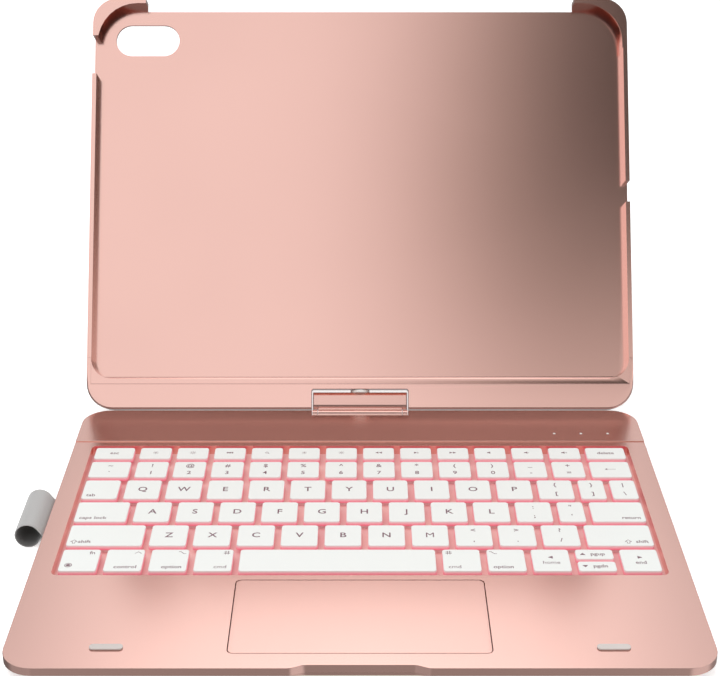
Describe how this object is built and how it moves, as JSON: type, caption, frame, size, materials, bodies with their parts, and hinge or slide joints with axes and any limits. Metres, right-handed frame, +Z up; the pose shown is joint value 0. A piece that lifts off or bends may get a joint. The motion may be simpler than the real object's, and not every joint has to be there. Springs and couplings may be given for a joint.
{
  "type": "tablet keyboard case",
  "caption": "Open tablet keyboard case: a slim backlit keyboard base with trackpad and pencil loop, and a snap-in tablet shell on a tilting and swivelling hinge.",
  "frame": {"origin": "midway between the four rubber feet, on the desk plane that they stand on; the base reaches from 101.1 mm in front of it to 98.3 mm behind it", "axes": "+X to the user's right, +Y from the user towards the hinge, +Z up; the shell stands open at 120 degrees"},
  "size_m": [0.2658, 0.307, 0.1776],
  "materials": {
    "rose_metal": "rose gold anodised satin",
    "underside_metal": "rose gold anodised satin",
    "hinge_metal": "rose gold satin",
    "key_white": "fine matte, white with grey legends",
    "glow_plate": "painted, lit from below",
    "trackpad_face": "rose gold satin",
    "grey_rubber": "matte",
    "dark_rubber": "matte",
    "loop_fabric": "fine woven elastic, pale grey",
    "steel": "brushed",
    "brass": "turned",
    "dark_plastic": "matte",
    "clear_plastic": "clear diffusing",
    "membrane": "printed film",
    "circuit_board": "solder mask",
    "foil": "pouch foil",
    "ribbon": "polyimide film"
  },
  "bodies": {
    "keyboard_base": {"base_bottom_cover": "underside_metal", "deck_cover": "rose_metal", "rubber_feet": "dark_rubber", "front_bumper_pads": "grey_rubber", "cover_screws": "steel", "key_support_plate": "glow_plate", "switch_membrane": "membrane", "backlight_light_guide": "clear_plastic", "backlight_led_strip": "ribbon", "scissor_frames": "clear_plastic", "rubber_domes": "clear_plastic", "main_circuit_board": "circuit_board", "usb_c_socket": "steel", "power_switch_body": "dark_plastic", "indicator_light_pipes": "clear_plastic", "battery_cells": "foil", "ribbon_cables": "ribbon", "wake_magnets": "steel", "trackpad_click_switch": "steel", "pencil_loop": "loop_fabric", "loop_clamp_plate": "steel", "hinge_bracket_left": "hinge_metal", "hinge_bracket_right": "hinge_metal", "bracket_screws": "steel"},
    "trackpad": {"trackpad_plate": "trackpad_face", "trackpad_board": "circuit_board"},
    "power_switch": {"power_switch_knob": "dark_plastic"},
    "hinge": {"hinge_block": "hinge_metal", "hinge_back_cover": "hinge_metal", "tilt_shaft": "steel", "swivel_post": "steel", "swivel_washers": "steel", "post_clip": "steel"},
    "shell": {"tablet_shell": "rose_metal", "bar_front_cover": "rose_metal", "swivel_bush": "brass"},
    "key_escape": {"key_escape": "key_white"},
    "key_function_row": {"keys_function_row": "key_white"},
    "key_lock": {"key_lock": "key_white"},
    "key_number_row": {"keys_number_row": "key_white"},
    "key_backspace": {"key_backspace": "key_white"},
    "key_tab": {"key_tab": "key_white"},
    "key_upper_letters": {"keys_upper_letters": "key_white"},
    "key_caps_lock": {"key_caps_lock": "key_white"},
    "key_home_letters": {"keys_home_letters": "key_white"},
    "key_return": {"key_return": "key_white"},
    "key_left_shift": {"key_left_shift": "key_white"},
    "key_lower_letters": {"keys_lower_letters": "key_white"},
    "key_right_shift": {"key_right_shift": "key_white"},
    "key_fn": {"key_fn": "key_white"},
    "key_control": {"key_control": "key_white"},
    "key_left_option": {"key_left_option": "key_white"},
    "key_left_command": {"key_left_command": "key_white"},
    "key_space": {"key_space": "key_white"},
    "key_right_command": {"key_right_command": "key_white"},
    "key_right_option": {"key_right_option": "key_white"},
    "key_arrow_left": {"key_arrow_left": "key_white"},
    "key_arrow_up": {"key_arrow_up": "key_white"},
    "key_arrow_down": {"key_arrow_down": "key_white"},
    "key_arrow_right": {"key_arrow_right": "key_white"}
  },
  "joints": [
    {"name": "hinge_tilt", "type": "hinge", "parent": "keyboard_base", "child": "hinge", "pos_m": [0, 0.0963, 0.0062], "axis": [-1, 0, 0], "range_deg": [-120, 10]},
    {"name": "case_swivel", "type": "hinge", "parent": "hinge", "child": "shell", "pos_m": [0, 0.10388, 0.00552], "axis": [0, 0.5, 0.866], "range_deg": [-180, 180]},
    {"name": "trackpad_click", "type": "slide", "parent": "keyboard_base", "child": "trackpad", "axis": [0, 0, -1], "range_m": [0, 0.0003], "stiffness_N_per_m": 1500, "springref_m": -0.0003},
    {"name": "power_switch_slide", "type": "slide", "parent": "keyboard_base", "child": "power_switch", "axis": [0, 1, 0], "range_m": [0, 0.002]},
    {"name": "key_escape_press", "type": "slide", "parent": "keyboard_base", "child": "key_escape", "axis": [0, 0, -1], "range_m": [0, 0.0015], "stiffness_N_per_m": 300, "springref_m": -0.0005},
    {"name": "key_function_row_press", "type": "slide", "parent": "keyboard_base", "child": "key_function_row", "axis": [0, 0, -1], "range_m": [0, 0.0015], "stiffness_N_per_m": 300, "springref_m": -0.0005},
    {"name": "key_lock_press", "type": "slide", "parent": "keyboard_base", "child": "key_lock", "axis": [0, 0, -1], "range_m": [0, 0.0015], "stiffness_N_per_m": 300, "springref_m": -0.0005},
    {"name": "key_number_row_press", "type": "slide", "parent": "keyboard_base", "child": "key_number_row", "axis": [0, 0, -1], "range_m": [0, 0.0015], "stiffness_N_per_m": 300, "springref_m": -0.0005},
    {"name": "key_backspace_press", "type": "slide", "parent": "keyboard_base", "child": "key_backspace", "axis": [0, 0, -1], "range_m": [0, 0.0015], "stiffness_N_per_m": 300, "springref_m": -0.0005},
    {"name": "key_tab_press", "type": "slide", "parent": "keyboard_base", "child": "key_tab", "axis": [0, 0, -1], "range_m": [0, 0.0015], "stiffness_N_per_m": 300, "springref_m": -0.0005},
    {"name": "key_upper_letters_press", "type": "slide", "parent": "keyboard_base", "child": "key_upper_letters", "axis": [0, 0, -1], "range_m": [0, 0.0015], "stiffness_N_per_m": 300, "springref_m": -0.0005},
    {"name": "key_caps_lock_press", "type": "slide", "parent": "keyboard_base", "child": "key_caps_lock", "axis": [0, 0, -1], "range_m": [0, 0.0015], "stiffness_N_per_m": 300, "springref_m": -0.0005},
    {"name": "key_home_letters_press", "type": "slide", "parent": "keyboard_base", "child": "key_home_letters", "axis": [0, 0, -1], "range_m": [0, 0.0015], "stiffness_N_per_m": 300, "springref_m": -0.0005},
    {"name": "key_return_press", "type": "slide", "parent": "keyboard_base", "child": "key_return", "axis": [0, 0, -1], "range_m": [0, 0.0015], "stiffness_N_per_m": 300, "springref_m": -0.0005},
    {"name": "key_left_shift_press", "type": "slide", "parent": "keyboard_base", "child": "key_left_shift", "axis": [0, 0, -1], "range_m": [0, 0.0015], "stiffness_N_per_m": 300, "springref_m": -0.0005},
    {"name": "key_lower_letters_press", "type": "slide", "parent": "keyboard_base", "child": "key_lower_letters", "axis": [0, 0, -1], "range_m": [0, 0.0015], "stiffness_N_per_m": 300, "springref_m": -0.0005},
    {"name": "key_right_shift_press", "type": "slide", "parent": "keyboard_base", "child": "key_right_shift", "axis": [0, 0, -1], "range_m": [0, 0.0015], "stiffness_N_per_m": 300, "springref_m": -0.0005},
    {"name": "key_fn_press", "type": "slide", "parent": "keyboard_base", "child": "key_fn", "axis": [0, 0, -1], "range_m": [0, 0.0015], "stiffness_N_per_m": 300, "springref_m": -0.0005},
    {"name": "key_control_press", "type": "slide", "parent": "keyboard_base", "child": "key_control", "axis": [0, 0, -1], "range_m": [0, 0.0015], "stiffness_N_per_m": 300, "springref_m": -0.0005},
    {"name": "key_left_option_press", "type": "slide", "parent": "keyboard_base", "child": "key_left_option", "axis": [0, 0, -1], "range_m": [0, 0.0015], "stiffness_N_per_m": 300, "springref_m": -0.0005},
    {"name": "key_left_command_press", "type": "slide", "parent": "keyboard_base", "child": "key_left_command", "axis": [0, 0, -1], "range_m": [0, 0.0015], "stiffness_N_per_m": 300, "springref_m": -0.0005},
    {"name": "key_space_press", "type": "slide", "parent": "keyboard_base", "child": "key_space", "axis": [0, 0, -1], "range_m": [0, 0.0015], "stiffness_N_per_m": 300, "springref_m": -0.0005, "deforming": ["rubber_domes", "scissor_frames"]},
    {"name": "key_right_command_press", "type": "slide", "parent": "keyboard_base", "child": "key_right_command", "axis": [0, 0, -1], "range_m": [0, 0.0015], "stiffness_N_per_m": 300, "springref_m": -0.0005},
    {"name": "key_right_option_press", "type": "slide", "parent": "keyboard_base", "child": "key_right_option", "axis": [0, 0, -1], "range_m": [0, 0.0015], "stiffness_N_per_m": 300, "springref_m": -0.0005},
    {"name": "key_arrow_left_press", "type": "slide", "parent": "keyboard_base", "child": "key_arrow_left", "axis": [0, 0, -1], "range_m": [0, 0.0015], "stiffness_N_per_m": 300, "springref_m": -0.0005},
    {"name": "key_arrow_up_press", "type": "slide", "parent": "keyboard_base", "child": "key_arrow_up", "axis": [0, 0, -1], "range_m": [0, 0.0015], "stiffness_N_per_m": 300, "springref_m": -0.0005},
    {"name": "key_arrow_down_press", "type": "slide", "parent": "keyboard_base", "child": "key_arrow_down", "axis": [0, 0, -1], "range_m": [0, 0.0015], "stiffness_N_per_m": 300, "springref_m": -0.0005},
    {"name": "key_arrow_right_press", "type": "slide", "parent": "keyboard_base", "child": "key_arrow_right", "axis": [0, 0, -1], "range_m": [0, 0.0015], "stiffness_N_per_m": 300, "springref_m": -0.0005}
  ]
}
